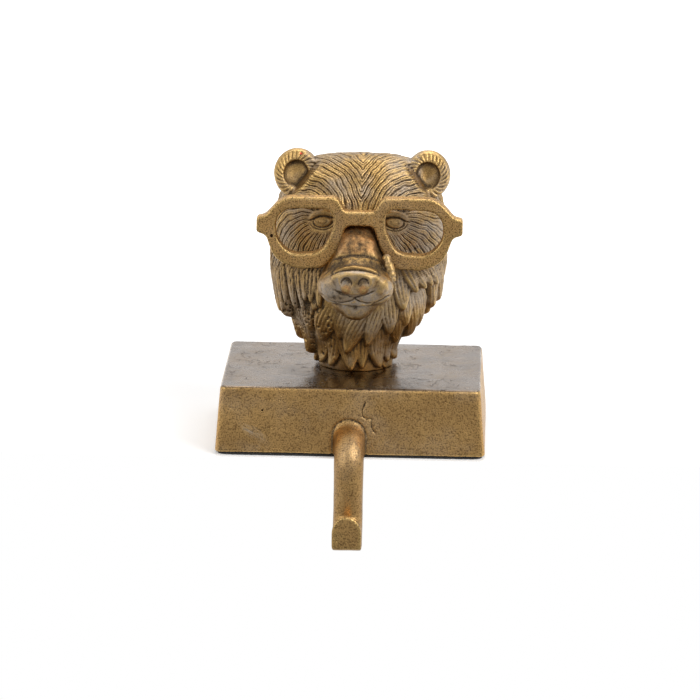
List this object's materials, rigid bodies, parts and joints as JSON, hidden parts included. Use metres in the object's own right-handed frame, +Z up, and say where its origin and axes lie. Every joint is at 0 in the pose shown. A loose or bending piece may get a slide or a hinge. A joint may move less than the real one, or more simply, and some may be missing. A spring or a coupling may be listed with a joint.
{
  "type": "mantel stocking holder",
  "caption": "Stocking holder for a mantel: a weighted block with a forward hook below its front edge and a cast bear's head in spectacles on top.",
  "frame": {"origin": "middle of the underside of the felt, where the block rests on the mantel", "axes": "+Z up through the block and the head, -Y towards the hook, the muzzle and the room, +X to the right as seen from the front"},
  "size_m": [0.127, 0.1176, 0.1755],
  "materials": {
    "cast_block": "antique brass plated and lacquered casting, satin front, glossy top",
    "cast_head": "antique brass plated casting, dark in the cuts, worn bright on the ridges",
    "cast_frame": "antique brass plated sand casting, grainy",
    "black_felt": "matte felt",
    "screw_steel": "plain steel"
  },
  "bodies": {
    "root": {"base_with_hook": "cast_block", "bear_head": "cast_head", "spectacles": "cast_frame", "felt_pad": "black_felt", "head_screw": "screw_steel"}
  },
  "joints": []
}
